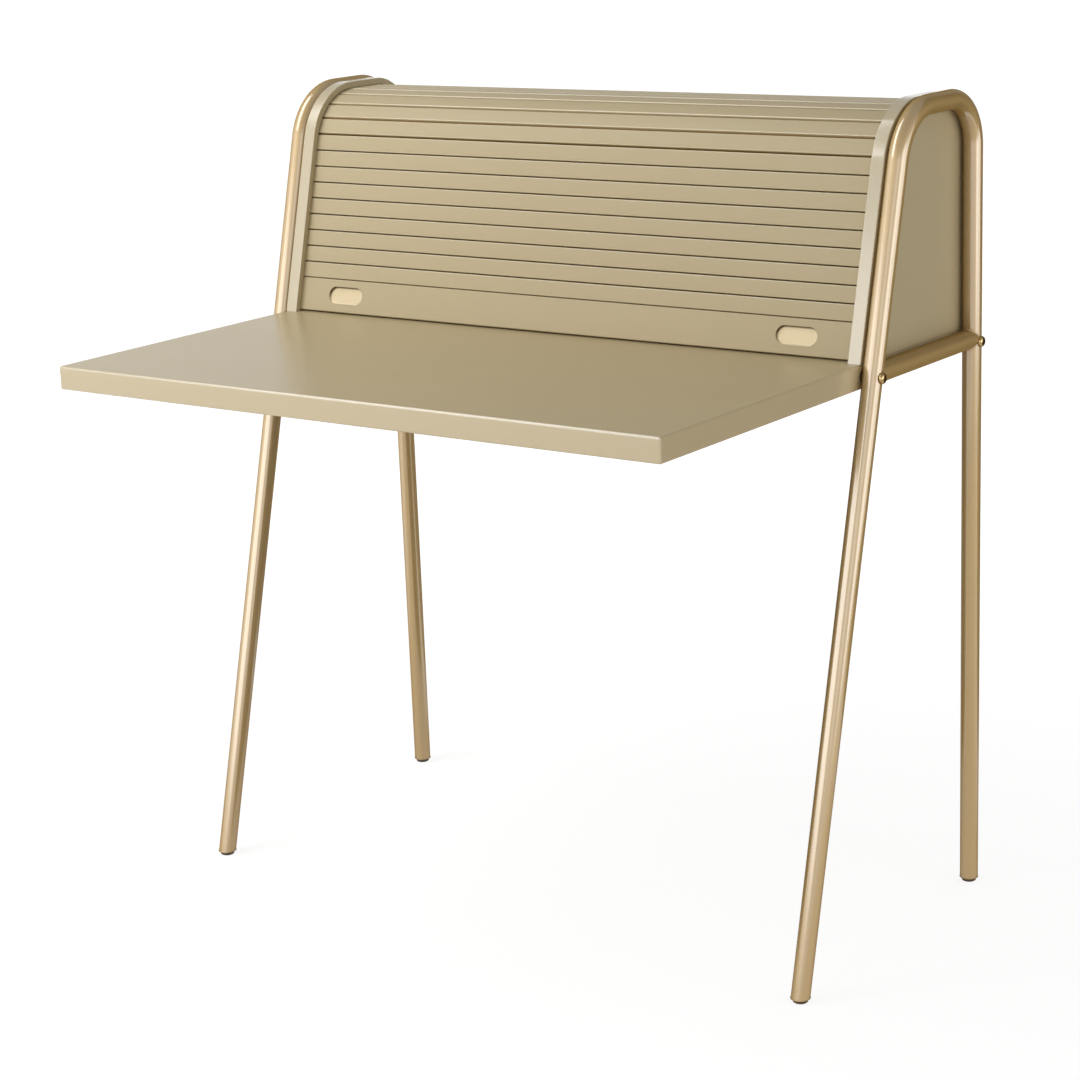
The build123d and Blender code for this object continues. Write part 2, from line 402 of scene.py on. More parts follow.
@dataclass(frozen=True)
class KhakiLacquer(Finish):
    """Sprayed satin lacquer on board; on slats and rail the wood's grain shows through faintly.

    Attributes:
        name: Its name.
        colour: Colour of flat faces.
        roughness: Roughness of flat faces.
        grain_depth: Depth of the grain, as a share of the ripple's.
        grain_stretch: Scale of the grain along each axis.
        ripple_depth: Depth of the spray's ripple in metres.
        edges: Where the edges are.
        painted_edge_highlight: Paler colour painted on the edges as a highlight, over their real gloss.
        edge_ior: Index of the edges' gloss.
        edge_roughness: Roughness of the edges' gloss.
        painted_round_highlight: Paler colour painted as a highlight on the rounding between front and top,
            where it has one.
        painted_groove_shade: Darker colour painted at the bottom of a slat's sides, as shade in the
            groove.
    """

    # Part of the normal at which a mask starts, and at which it is full
    EDGE_TURN = (0.97, 0.9)
    ROUND_RISE = (0.05, 0.25)
    ROUND_FRONT = (-0.25, -0.5)

    name: str = "khaki_lacquer_satin"
    colour: Colour = linear(184, 168, 132)
    roughness: float = 0.30
    grain_depth: float = 0.0
    grain_stretch: Place = (4.0, 420.0, 420.0)
    ripple_depth: float = 0.02 * MM
    edges: Edges = Edges.NONE
    painted_edge_highlight: Colour = linear(190, 175, 140)
    edge_ior: float = 1.7
    edge_roughness: float = 0.14
    painted_round_highlight: Colour | None = None
    painted_groove_shade: Colour = linear(168, 126, 24)

    def dress(self, graph: Graph, shader: bpy.types.Node, effects: Effects) -> None:
        """Drifting tone, rubbed sheen, spray ripple, faint grain lines along X, glossier edges with a
        painted highlight, and painted shade in grooves.

        Args:
            graph: The material's graph.
            shader: Its Principled shader.
            effects: The shared effects' groups.
        """
        tone, sheen = self.tone_and_sheen(graph, effects, drift=(3.0, 0.05), rubbed=(14.0, 0.06))
        height = self.effect(graph, effects, Effect.PEEL, Scale=700.0)
        if self.grain_depth:
            where = graph.stretched(graph.node("TexCoord").outputs["Object"], self.grain_stretch)
            lines = graph.noise(where, 1.0, 3.0)
            height = graph.maths("ADD", height, graph.maths("MULTIPLY", lines, self.grain_depth))
        if self.edges is not Edges.NONE:
            edge = self.edge_gloss_and_highlight_mask(graph)
            # The edges are painted paler as a highlight, besides the coat's real gloss.
            tone = graph.blend(edge, tone, self.painted_edge_highlight)
            # Painted highlight on the rounding between the front and the top.
            if self.painted_round_highlight:
                tone = graph.blend(self.round_highlight_mask(graph), tone, self.painted_round_highlight)
            if self.edges is Edges.MARKED_POINTS:
                # Painted shade at the bottom of the slats' sides, in the grooves between them.
                tone = graph.blend(self.marked(graph, -1.0), tone, self.painted_groove_shade)
            graph.feed(shader.inputs["Coat Weight"], edge)
            shader.inputs["Coat Roughness"].default_value = self.edge_roughness
            shader.inputs["Coat IOR"].default_value = self.edge_ior
        graph.feed(shader.inputs["Base Color"], tone)
        graph.feed(shader.inputs["Roughness"], sheen)
        self.bump(graph, shader, height, self.ripple_depth)

    @staticmethod
    def marked(graph: Graph, full: float) -> bpy.types.NodeSocket:
        """1 where the points' own mark reaches its full value, and 0 where they have none."""
        mark = graph.node("Attribute", {"attribute_name": Edges.MARKED_POINTS.value}).outputs["Fac"]
        return graph.ramp(mark, 0.0, full)

    def round_highlight_mask(self, graph: Graph) -> bpy.types.NodeSocket:
        """1 where the surface turns up from the front to the level top, and 0 on both of them; it places a
        painted highlight.

        Args:
            graph: The material's graph.

        Returns:
            The mask.
        """
        normal = graph.node("NewGeometry").outputs["Normal"]
        axes = graph.node("SeparateXYZ", Vector=normal)
        rise = graph.ramp(axes.outputs[2], *self.ROUND_RISE)
        return graph.maths("MULTIPLY", rise, graph.ramp(axes.outputs[1], *self.ROUND_FRONT))

    def edge_gloss_and_highlight_mask(self, graph: Graph) -> bpy.types.NodeSocket:
        """1 on edges and 0 on flat faces, by the points' own mark or by the turn of the surface; it
        carries the coat's gloss and the painted highlight.

        Args:
            graph: The material's graph.

        Returns:
            The mask.
        """
        if self.edges is Edges.MARKED_POINTS:
            return self.marked(graph, 1.0)
        normal = graph.node("NewGeometry").outputs["Normal"]
        share = graph.node("SeparateXYZ", Vector=normal).outputs[self.edges.value.upper()]
        return graph.ramp(graph.maths("ABSOLUTE", share), *self.EDGE_TURN)


@dataclass(frozen=True)
class GoldMetal(Finish):
    """Champagne gold metallic paint under a clear coat that shows most face on, with fine flakes.

    Attributes:
        name: Its name.
        colour: Colour of the metal face on.
        edge_tint: Tint of the metal at a grazing view.
        roughness: Roughness of the metal.
        coat: Weight of the clear coat face on.
        coat_full: Turn away from the view up to which the coat is full.
        coat_gone: Turn at which it is gone.
        coat_roughness: Roughness of the coat.
        coat_ior: Index of the coat.
        flake_scale: Flakes to the metre.
        flake_swing: How much lighter and darker the flakes are.
        ripple_depth: Depth of the spray's ripple in metres.
    """

    name: str = "champagne_gold_tube"
    colour: Colour = linear(188, 159, 103)
    edge_tint: Colour = (0.07, 0.045, 0.025)
    roughness: float = 0.64
    coat: float = 1.0
    coat_full: float = 0.36
    coat_gone: float = 0.8
    coat_roughness: float = 0.16
    coat_ior: float = 2.4
    flake_scale: float = 2600.0
    flake_swing: float = 0.05
    ripple_depth: float = 0.012 * MM

    def dress(self, graph: Graph, shader: bpy.types.Node, effects: Effects) -> None:
        """Flakes over a drifting tone, under a coat that fades where the surface turns away.

        Args:
            graph: The material's graph.
            shader: Its Principled shader.
            effects: The shared effects' groups.
        """
        where = graph.node("TexCoord").outputs["Object"]
        flakes = graph.node("TexVoronoi", Vector=where, Scale=self.flake_scale)
        spark = graph.node("SeparateColor", Color=flakes.outputs["Color"]).outputs[0]
        tone, sheen = self.tone_and_sheen(graph, effects, drift=(5.0, 0.08), rubbed=(20.0, 0.08))
        value = graph.spread(spark, 1 - self.flake_swing, 1 + self.flake_swing)
        glint = graph.node("HueSaturation", Color=tone, Value=value)
        graph.feed(shader.inputs["Base Color"], glint.outputs[0])
        graph.feed(shader.inputs["Roughness"], sheen)
        shader.inputs["Metallic"].default_value = 1.0
        shader.inputs["Specular Tint"].default_value = (*self.edge_tint, 1.0)
        facing = graph.node("LayerWeight", Blend=0.5).outputs["Facing"]
        coat = graph.spread(graph.ramp(facing, self.coat_full, self.coat_gone), self.coat, 0.0)
        graph.feed(shader.inputs["Coat Weight"], coat)
        shader.inputs["Coat Roughness"].default_value = self.coat_roughness
        shader.inputs["Coat IOR"].default_value = self.coat_ior
        height = self.effect(graph, effects, Effect.PEEL, Scale=900.0)
        self.bump(graph, shader, height, self.ripple_depth)


@dataclass(frozen=True)
class PullMetal(Finish):
    """Pale brushed gold of the pressed finger pulls, brushed along X.

    Attributes:
        name: Its name.
        colour: Colour of the dish.
        painted_lip_shade: Darker colour painted inside the lip as shade.
        roughness: Roughness between the brushed lines' least and most.
        metallic: How much of a metal it shows under its lacquer.
        brush_stretch: Scale of the brushed lines along each axis.
        brush_swing: How much lighter and darker the lines are.
        sheen_swing: How much the lines' roughness differs.
        brush_depth: Depth of the lines in metres.
    """

    name: str = "pale_gold_pull"
    colour: Colour = linear(203, 186, 150)
    painted_lip_shade: Colour = linear(100, 80, 42)
    roughness: float = 0.42
    metallic: float = 0.35
    brush_stretch: Place = (20.0, 2200.0, 2200.0)
    brush_swing: float = 0.04
    sheen_swing: float = 0.06
    brush_depth: float = 0.01 * MM

    def dress(self, graph: Graph, shader: bpy.types.Node, effects: Effects) -> None:
        """Fine brushed lines along X in tone, roughness and height, and painted shade at the marked lip.

        Args:
            graph: The material's graph.
            shader: Its Principled shader.
            effects: The shared effects' groups.
        """
        where = graph.stretched(graph.node("TexCoord").outputs["Object"], self.brush_stretch)
        lines = graph.noise(where, 1.0, 2.0)
        tone = self.effect(graph, effects, Effect.TONE_DRIFT, Colour=self.colour, Scale=18.0, Amount=0.06)
        value = graph.spread(lines, 1 - self.brush_swing, 1 + self.brush_swing)
        brushed = graph.node("HueSaturation", Color=tone, Value=value)
        # Painted shade inside the dish's lip, where its marks are.
        lip = graph.node("Attribute", {"attribute_name": Edges.MARKED_POINTS.value}).outputs["Fac"]
        sheen = graph.spread(lines, self.roughness - self.sheen_swing, self.roughness + self.sheen_swing)
        graph.feed(shader.inputs["Base Color"], graph.blend(lip, brushed.outputs[0], self.painted_lip_shade))
        graph.feed(shader.inputs["Roughness"], sheen)
        shader.inputs["Metallic"].default_value = self.metallic
        self.bump(graph, shader, lines, self.brush_depth)


@dataclass(frozen=True)
class GlidePlastic(Finish):
    """Dark moulded plastic of the floor glides and spacers."""

    name: str = "dark_glide_plastic"
    colour: Colour = linear(78, 62, 42)
    roughness: float = 0.5
    texture_depth: float = 0.05 * MM

    def dress(self, graph: Graph, shader: bpy.types.Node, effects: Effects) -> None:
        """Moulded texture with a slightly dusty tone.

        Args:
            graph: The material's graph.
            shader: Its Principled shader.
            effects: The shared effects' groups.
        """
        tone, sheen = self.tone_and_sheen(graph, effects, drift=(60.0, 0.25), rubbed=(90.0, 0.2))
        height = self.effect(graph, effects, Effect.PEEL, Scale=2500.0)
        graph.feed(shader.inputs["Base Color"], tone)
        graph.feed(shader.inputs["Roughness"], sheen)
        self.bump(graph, shader, height, self.texture_depth)


@dataclass(frozen=True)
class ZincSteel(Finish):
    """Bright zinc plate of screws and inserts, with its cloudy passivation."""

    name: str = "zinc_plated_steel"
    colour: Colour = linear(176, 178, 180)
    roughness: float = 0.32

    def dress(self, graph: Graph, shader: bpy.types.Node, effects: Effects) -> None:
        """Cloudy tone and roughness on metal.

        Args:
            graph: The material's graph.
            shader: Its Principled shader.
            effects: The shared effects' groups.
        """
        tone, sheen = self.tone_and_sheen(graph, effects, drift=(220.0, 0.35), rubbed=(300.0, 0.25))
        graph.feed(shader.inputs["Base Color"], tone)
        graph.feed(shader.inputs["Roughness"], sheen)
        shader.inputs["Metallic"].default_value = 1.0


@dataclass(frozen=True)
class CanvasCloth(Finish):
    """Undyed brown canvas glued behind the slats, woven along X and across it.

    Attributes:
        name: Its name.
        colour: Colour of the threads.
        roughness: Roughness of the cloth.
        threads_a_metre: Threads to the metre, both ways.
        weave_shade_tones: Tone painted on the weave where it is lowest and highest, as shade in its
            hollows.
        thread_depth: Height of a thread over the next one, in metres.
    """

    name: str = "undyed_canvas"
    colour: Colour = linear(156, 118, 46)
    roughness: float = 0.9
    threads_a_metre: float = 1400.0
    weave_shade_tones: tuple[float, float] = (0.82, 1.08)
    thread_depth: float = 0.2 * MM

    def dress(self, graph: Graph, shader: bpy.types.Node, effects: Effects) -> None:
        """Plain weave: the product of two sine waves, so that threads rise in turn.

        Args:
            graph: The material's graph.
            shader: Its Principled shader.
            effects: The shared effects' groups.
        """
        where = graph.node("TexCoord").outputs["Object"]
        axes = graph.node("SeparateXYZ", Vector=where)
        run = graph.maths("ADD", axes.outputs[1], axes.outputs[2])
        turn = self.threads_a_metre * math.pi
        warp = graph.maths("SINE", graph.maths("MULTIPLY", axes.outputs[0], turn))
        weft = graph.maths("SINE", graph.maths("MULTIPLY", run, turn))
        weave = graph.spread(graph.maths("ADD", graph.maths("MULTIPLY", warp, weft), 1.0), 0.0, 0.5)
        tone = self.effect(graph, effects, Effect.TONE_DRIFT, Colour=self.colour, Scale=40.0, Amount=0.2)
        # Painted shade: the weave is darker where it lies low.
        shaded = graph.node("HueSaturation", Color=tone, Value=graph.spread(weave, *self.weave_shade_tones))
        graph.feed(shader.inputs["Base Color"], shaded.outputs[0])
        shader.inputs["Roughness"].default_value = self.roughness
        self.bump(graph, shader, weave, self.thread_depth)


@dataclass
class Surface:
    """A closed profile carried along a path: rows of points, each row a closed loop.

    Attributes:
        points: Array of rows, columns and X, Y, Z.
        ring: Whether the last row joins the first one; otherwise each end row is closed by a cap.
        marks: A value for each point that its finish reads, up to 1 on an edge and down to -1 in a groove.
    """

    points: np.ndarray
    ring: bool = False
    marks: np.ndarray | None = None

    def __post_init__(self) -> None:
        """Spread the marks over the points, and turn the loops round if faces would point inwards."""
        shape = self.points.shape[:2]
        self.marks = np.zeros(shape) if self.marks is None else np.broadcast_to(self.marks, shape)
        if self.volume() < 0:
            self.points = self.points[:, ::-1]
            self.marks = self.marks[:, ::-1]

    def quads(self) -> np.ndarray:
        """Four point numbers for each face between neighbouring rows and columns.

        Returns:
            Array of faces and their point numbers.
        """
        rows, columns = self.points.shape[:2]
        i, j = np.meshgrid(np.arange(rows if self.ring else rows - 1), np.arange(columns), indexing="ij")
        below, beside = (i + 1) % rows, (j + 1) % columns
        corners = (i * columns + j, i * columns + beside, below * columns + beside, below * columns + j)
        return np.stack(corners, axis=-1).reshape(-1, 4)

    def caps(self) -> list[list[int]]:
        """Point numbers of the end faces, or none on a ring.

        Returns:
            A list of point numbers for each end face.
        """
        rows, columns = self.points.shape[:2]
        if self.ring:
            return []
        first = np.arange(columns)
        return [first[::-1].tolist(), (first + (rows - 1) * columns).tolist()]

    def volume(self) -> float:
        """Enclosed volume by the sum of signed tetrahedra, negative where faces point inwards.

        Returns:
            The volume.
        """
        flat = self.points.reshape(-1, 3)
        corners = flat[self.quads()]
        fans = np.concatenate([corners[:, [0, 1, 2]], corners[:, [0, 2, 3]]])
        for cap in self.caps():
            loop = flat[cap]
            fan = np.stack([np.broadcast_to(loop[0], loop[1:-1].shape), loop[1:-1], loop[2:]], axis=1)
            fans = np.concatenate([fans, fan])
        return float(np.einsum("ij,ij->", fans[:, 0], np.cross(fans[:, 1], fans[:, 2]))) / 6.0


@dataclass
class Piece:
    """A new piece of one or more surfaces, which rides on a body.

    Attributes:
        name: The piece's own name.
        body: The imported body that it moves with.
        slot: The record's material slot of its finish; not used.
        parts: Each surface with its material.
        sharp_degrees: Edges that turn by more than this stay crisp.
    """

    name: str
    body: str
    slot: str
    parts: list[tuple[Surface, bpy.types.Material]]
    sharp_degrees: float = 40.0

    def build(self) -> bpy.types.Object:
        """Make the mesh and let it ride.

        Returns:
            The new object, at the origin.
        """
        points, faces, slots, first = [], [], [], 0
        mesh = bpy.data.meshes.new(self.name)
        for number, (surface, material) in enumerate(self.parts):
            mesh.materials.append(material)
            own = (surface.quads() + first).tolist()
            own += [[corner + first for corner in cap] for cap in surface.caps()]
            points.append(surface.points.reshape(-1, 3))
            faces.extend(own)
            slots.extend([number] * len(own))
            first += len(points[-1])
        mesh.from_pydata(np.concatenate(points).tolist(), [], faces)
        mesh.polygons.foreach_set("material_index", slots)
        mesh.polygons.foreach_set("use_smooth", [True] * len(faces))
        mesh.set_sharp_from_angle(angle=math.radians(self.sharp_degrees))
        marks = np.concatenate([surface.marks.ravel() for surface, _ in self.parts])
        mark = mesh.attributes.new(Edges.MARKED_POINTS.value, "FLOAT", "POINT")
        mark.data.foreach_set("value", marks.astype(np.float32))
        mesh.update()
        return ride(new_object(self.name, mesh), self.body)


def ride(made: bpy.types.Object, body: str) -> bpy.types.Object:
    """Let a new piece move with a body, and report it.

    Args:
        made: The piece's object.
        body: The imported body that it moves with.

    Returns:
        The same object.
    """
    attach(made, body)
    LOG.info("piece %s on %s, %d faces", made.name, body, len(made.data.polygons))
    return made


def mesh_points(mesh: bpy.types.Mesh) -> np.ndarray:
    """Vertices of a mesh as an array of X, Y, Z.

    Args:
        mesh: The mesh.

    Returns:
        One row for each vertex.
    """
    flat = np.empty(3 * len(mesh.vertices))
    mesh.vertices.foreach_get("co", flat)
    return flat.reshape(-1, 3)


def node_points(node: str) -> np.ndarray:
    """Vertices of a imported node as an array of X, Y, Z."""
    return mesh_points(frame["nodes"][node].data)


def dress_nodes(material: bpy.types.Material, *nodes: str) -> None:
    """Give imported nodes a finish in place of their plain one.

    Args:
        material: The finish.
        nodes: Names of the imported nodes.
    """
    for node in nodes:
        materials = frame["nodes"][node].data.materials
        materials.clear()
        materials.append(material)
        LOG.info("node %s gets %s", node, material.name)


def bent_line(corners: np.ndarray, radii: list[float], samples: int) -> tuple[np.ndarray, np.ndarray]:
    """Points and directions along straight runs that are joined by tangent arcs.

    Where the line turns by an angle from direction a to b, an arc of radius r starts r * tan(angle / 2)
    before the corner. With c square to a on the side of b, its point at the angle t is the start plus
    r * (sin(t) * a + (1 - cos(t)) * c), and its direction there is cos(t) * a + sin(t) * c.

    Args:
        corners: Array of corner points, ends included.
        radii: One radius for each inner corner.
        samples: Points on each arc.

    Returns:
        The points and the unit directions at them.
    """
    runs = np.diff(corners, axis=0)
    runs /= np.linalg.norm(runs, axis=1)[:, None]
    points, ways = [corners[:1]], [runs[:1]]
    for corner, into, out, radius in zip(corners[1:-1], runs[:-1], runs[1:], radii):
        angle = math.acos(float(np.clip(into @ out, -1.0, 1.0)))
        across = (out - into * math.cos(angle)) / math.sin(angle)
        t = np.linspace(0.0, angle, samples)[:, None]
        start = corner - into * radius * math.tan(angle / 2)
        points.append(start + radius * (np.sin(t) * into + (1 - np.cos(t)) * across))
        ways.append(np.cos(t) * into + np.sin(t) * across)
    points.append(corners[-1:])
    ways.append(runs[-1:])
    return np.concatenate(points), np.concatenate(ways)


def rounded_rectangle(
    width: float, height: float, low_round: float, high_round: float, samples: int
) -> np.ndarray:
    """Loop of points round a rectangle that stands on the first axis, with round corners.

    Each corner's arc is its centre plus its radius times (cos(t), sin(t)) over a quarter turn.

    Args:
        width: Size along the first axis, centred on it.
        height: Size along the second axis, from 0.
        low_round: Radius of the two corners on the first axis.
        high_round: Radius of the two others.
        samples: Points on each corner.

    Returns:
        Array of points in two axes.
    """
    quarter = np.linspace(0.0, math.pi / 2, samples)
    corners = ((1, 0, low_round), (1, 1, high_round), (-1, 1, high_round), (-1, 0, low_round))
    loop = []
    for turn, (side, top, radius) in enumerate(corners):
        t = quarter + (turn - 1) * math.pi / 2
        centre = (side * (width / 2 - radius), height - radius if top else radius)
        loop.append(np.stack([centre[0] + radius * np.cos(t), centre[1] + radius * np.sin(t)], axis=-1))
    return np.concatenate(loop)


@dataclass
class DeskBoard:
    """The desk board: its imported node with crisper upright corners.

    Attributes:
        packed_corner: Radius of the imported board's upright corners.
        corner: Radius that they get.
        corner_inset: Distance inside the outline at which a corner has no radius left.
        merge: Distance within which points count as one.
        normal_least: Length under which a packed normal counts as missing.
    """

    packed_corner: float = 5.0 * MM
    corner: float = 2.0 * MM
    corner_inset: float = 3.3 * MM
    merge: float = 0.001 * MM
    normal_least: float = 0.5

    def merged(self) -> bpy.types.Mesh:
        """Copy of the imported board's mesh, with the points that its loose triangles share made one.

        Returns:
            The copy.
        """
        mesh = frame["nodes"]["desk_board"].data.copy()
        shell = bmesh.new()
        shell.from_mesh(mesh)
        bmesh.ops.remove_doubles(shell, verts=shell.verts, dist=self.merge)
        shell.to_mesh(mesh)
        shell.free()
        return mesh

    def sharpened(self, points: np.ndarray) -> np.ndarray:
        """The board's points, with those of its upright corners moved outwards.

        A point in a corner lies s inside the outline, in a direction d from the corner's middle. It
        moves to the radius r = corner * (1 - s / corner_inset) in the same direction, about a middle
        that lies s + r in from both sides.

        Args:
            points: Array of X, Y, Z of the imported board.

        Returns:
            Array of X, Y, Z.
        """
        low, high = (np.array(end)[:2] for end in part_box("desk_board"))
        half = (high - low) / 2
        offset = points[:, :2] - (low + high) / 2
        ways = np.abs(offset) - half + self.packed_corner
        rounded = (ways > -self.merge).all(axis=1)
        reach = np.linalg.norm(ways[rounded], axis=1)[:, None]
        inset = self.packed_corner - reach
        radius = self.corner * (1 - inset / self.corner_inset)
        moved = half - inset - radius + radius * ways[rounded] / reach
        result = points.copy()
        result[rounded, :2] = (low + high) / 2 + np.sign(offset[rounded]) * moved
        return result

    def packed_normals(self) -> np.ndarray:
        """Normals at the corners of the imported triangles, or the triangle's own where one is missing.

        Returns:
            Array of X, Y, Z for each corner of each triangle.
        """
        packed = frame["nodes"]["desk_board"].data
        corners = np.empty(3 * len(packed.loops))
        packed.corner_normals.foreach_get("vector", corners)
        corners = corners.reshape(-1, 3)
        faces = np.empty(3 * len(packed.polygons))
        packed.polygon_normals.foreach_get("vector", faces)
        faces = np.repeat(faces.reshape(-1, 3), 3, axis=0)
        given = np.linalg.norm(corners, axis=1, keepdims=True) > self.normal_least
        return np.where(given, corners, faces)

    def build(self, lacquer: bpy.types.Material) -> None:
        """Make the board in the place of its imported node, with that node's own normals.

        Args:
            lacquer: Finish of the board.
        """
        mesh = self.merged()
        mesh.vertices.foreach_set("co", self.sharpened(mesh_points(mesh)).ravel())
        mesh.normals_split_custom_set(self.packed_normals().tolist())
        mesh.materials.clear()
        mesh.materials.append(lacquer)
        mesh.update()
        made = ride(new_object("crisp_board", mesh), FIXED_BODY)
        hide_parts("desk_board")


@dataclass
class SideFrame:
    """One bent tube frame with its crossbar and welds.

    Attributes:
        side: Which end of the desk.
        rake_degrees: Lean of the front leg from upright.
        front_bend: Bend radius above the front leg, at the tube's centre.
        rear_bend: Bend radius above the rear leg.
        edge_round: Rounding of the tube's cut ends, by which the legs narrow towards them.
        cut_inside: Radius of the cap inside each cut end, as a share of the tube's.
        weld_size: Radius of the weld bead at its fullest.
        weld_least: Its least radius, as a share of that.
        columns: Points round the tube.
        arc_rows: Rows on each bend.
        end_rows: Rows on each rounded end.
        weld_rows: Rows round a weld.
        weld_columns: Points round its bead.
    """

    side: Side
    rake_degrees: float = 14.3
    front_bend: float = 80 * MM
    rear_bend: float = 62 * MM
    edge_round: float = 0.6 * MM
    cut_inside: float = 0.8
    weld_size: float = 1.9 * MM
    weld_least: float = 0.25
    columns: int = 72
    arc_rows: int = 40
    end_rows: int = 5
    weld_rows: int = 96
    weld_columns: int = 14

    def __post_init__(self) -> None:
        """Read the tube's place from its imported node."""
        low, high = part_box(self.side.node("frame_tube"))
        bar_low, bar_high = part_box(self.side.node("crossbar"))
        self.radius = (high.x - low.x) / 2
        self.centre_x = (high.x + low.x) / 2
        self.cut_z = low.z
        self.arch_z = high.z - self.radius
        self.rear_y = high.y - self.radius
        self.rake = math.radians(self.rake_degrees)
        self.front_foot_y = low.y + self.radius / math.cos(self.rake) - self.cut_z * math.tan(self.rake)
        self.bar_radius = (bar_high.z - bar_low.z) / 2
        self.bar_z = (bar_high.z + bar_low.z) / 2

    def front_y(self, z: float) -> float:
        """Y of the raked front leg's centreline at a height."""
        return self.front_foot_y + z * math.tan(self.rake)

    def tube(self) -> Surface:
        """The tube: a circle carried along the bent line, cut level at the feet.

        A ring's point at the angle t is its centre plus r * (cos(t) * X + sin(t) * N), with N square to
        the line in the frame's plane. The end rings slide along the line until they are level. A leg
        narrows evenly from r at its bend to r - e at the cut. There it steps out over a quarter round,
        r - e * (1 - sin(s)) at e * (1 - cos(s)) above the cut, and then in to its cap.

        Returns:
            The closed surface.
        """
        corners = np.array([
            (self.front_y(self.cut_z), self.cut_z),
            (self.front_y(self.arch_z), self.arch_z),
            (self.rear_y, self.arch_z),
            (self.rear_y, self.cut_z),
        ])
        line, ways = bent_line(corners, [self.front_bend, self.rear_bend], self.arc_rows)
        t = np.linspace(0.0, 2 * math.pi, self.columns, endpoint=False)
        normals = np.stack([-ways[:, 1], ways[:, 0]], axis=-1)
        rings = self.rings(line, normals, t, np.full(len(line), self.radius))
        ends = []
        for row in (0, -1):
            s = np.linspace(math.pi / 2, 0.0, self.end_rows)
            radii = self.radius - self.edge_round * (1 - np.sin(s))
            heights = self.edge_round * (1 - np.cos(s))
            radii = np.append(radii[::-1], self.radius * self.cut_inside)
            heights = np.append(heights[::-1], 0.0)
            steps = (len(radii), 1)
            spread = self.rings(np.tile(line[row], steps), np.tile(normals[row], steps), t, radii)
            ends.append(self.levelled(spread, ways[row], self.cut_z + heights))
        return Surface(np.concatenate([ends[0][::-1], rings[1:-1], ends[1]]))

    def rings(
        self, line: np.ndarray, normals: np.ndarray, t: np.ndarray, radii: np.ndarray
    ) -> np.ndarray:
        """Circles square to a line in the frame's plane.

        Args:
            line: Y and Z of each circle's centre.
            normals: Direction square to the line at each centre, in the frame's plane.
            t: Angles of the points round a circle.
            radii: Radius of each circle.

        Returns:
            Rows of points, one row for each circle.
        """
        x = self.centre_x + radii[:, None] * np.cos(t)
        yz = line[:, None] + radii[:, None, None] * np.sin(t)[:, None] * normals[:, None]
        return np.concatenate([x[..., None], yz], axis=-1)

    @staticmethod
    def levelled(rings: np.ndarray, way: np.ndarray, heights: np.ndarray) -> np.ndarray:
        """Rings slid along the direction way until each one lies level at its height."""
        slide = (heights[:, None] - rings[..., 2]) / way[1]
        return np.concatenate([rings[..., :1], rings[..., 1:] + slide[..., None] * way], axis=-1)

    def weld(self, leg: Leg) -> Surface:
        """Weld bead in the corner between the crossbar and a leg.

        At the angle t round the crossbar, x is r * cos(t) and z is r * sin(t) from its axis, and the
        bead lies where the leg's surface is met: the distance from the leg's axis, square to it in the
        frame's plane, is sqrt(R * R - x * x). The bead's radius swells with sin(t) squared.

        Args:
            leg: Front or rear leg.

        Returns:
            The closed ring.
        """
        t = np.linspace(0.0, 2 * math.pi, self.weld_rows, endpoint=False)
        x = self.bar_radius * np.cos(t)
        z = self.bar_radius * np.sin(t)
        reach = np.sqrt(np.maximum(self.radius**2 - x**2, 0.0))
        if leg is Leg.FRONT:
            y = self.front_y(self.bar_z) + (z * math.sin(self.rake) + reach) / math.cos(self.rake)
        else:
            y = self.rear_y - reach
        path = np.stack([self.centre_x + x, y, self.bar_z + z], axis=-1)
        way = np.roll(path, -1, axis=0) - np.roll(path, 1, axis=0)
        way /= np.linalg.norm(way, axis=1)[:, None]
        out = np.stack([np.cos(t), np.zeros_like(t), np.sin(t)], axis=-1)
        out -= np.einsum("ij,ij->i", out, way)[:, None] * way
        out /= np.linalg.norm(out, axis=1)[:, None]
        side = np.cross(way, out)
        size = self.weld_size * (self.weld_least + (1 - self.weld_least) * np.sin(t) ** 2)
        turn = np.linspace(0.0, 2 * math.pi, self.weld_columns, endpoint=False)
        loops = np.cos(turn)[None, :, None] * out[:, None] + np.sin(turn)[None, :, None] * side[:, None]
        return Surface(path[:, None] + size[:, None, None] * loops, ring=True)

    def build(self, gold: bpy.types.Material) -> None:
        """Make the tube and welds, and dress the crossbar.

        Args:
            gold: Finish of the tubes and welds.
        """
        name = self.side.name.lower()
        node = self.side.node("frame_tube")
        tube = Piece(f"bent_tube_{name}", FIXED_BODY, "gold_tube", [(self.tube(), gold)]).build()
        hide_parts(node)
        for leg in Leg:
            weld = [(self.weld(leg), gold)]
            Piece(f"weld_{leg.value}_{name}", FIXED_BODY, "gold_tube", weld).build()
        dress_nodes(gold, self.side.node("crossbar"))


